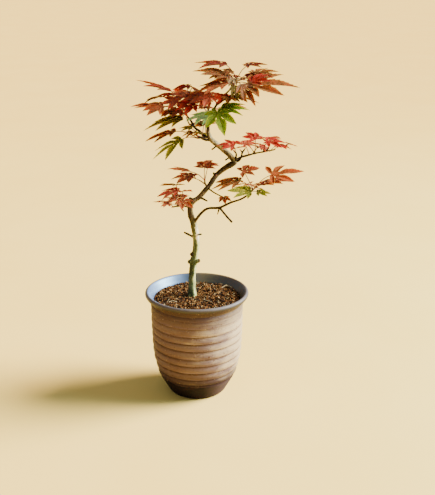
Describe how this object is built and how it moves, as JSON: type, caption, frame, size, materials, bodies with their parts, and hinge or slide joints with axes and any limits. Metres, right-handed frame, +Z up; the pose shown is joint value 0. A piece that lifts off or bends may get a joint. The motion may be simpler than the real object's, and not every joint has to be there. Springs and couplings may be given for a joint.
{
  "type": "potted japanese maple",
  "caption": "Small maple in autumn leaf: twisting trunk, fine twigs and spread lobed leaves, growing from crumbly soil in a ribbed stoneware pot.",
  "frame": {"origin": "centre of the pot's flat underside", "axes": "+Z up the tree, -Y towards the front, +X to the right as seen from the front"},
  "size_m": [0.1665, 0.1104, 0.3367],
  "materials": {
    "stoneware": "matt brown stoneware, glossy slate glaze on the lip and inside",
    "soil": "loose fired-clay granules",
    "bark": "thin grey-green bark",
    "twig_bark": "smooth dark twig bark",
    "red_leaves": "matt leaf",
    "orange_leaves": "matt leaf",
    "green_leaves": "matt leaf"
  },
  "bodies": {
    "root": {"pot": "stoneware", "soil": "soil", "trunk_foot": "bark", "trunk_middle": "bark", "trunk_top": "bark", "trunk_leader": "bark", "bough_low_right": "twig_bark", "bough_low_right_side": "twig_bark", "bough_right_upper": "twig_bark", "bough_left_upper": "twig_bark", "foliage_top": "red_leaves", "foliage_upper_left": "red_leaves", "foliage_left_low": "green_leaves", "foliage_centre_red": "red_leaves", "foliage_centre_right": "red_leaves", "foliage_centre_green": "green_leaves", "foliage_right_small": "red_leaves", "foliage_right_upper": "red_leaves", "foliage_right_low": "orange_leaves", "foliage_small_middle": "orange_leaves", "foliage_mid_left": "orange_leaves", "foliage_low_left": "red_leaves"}
  },
  "joints": []
}
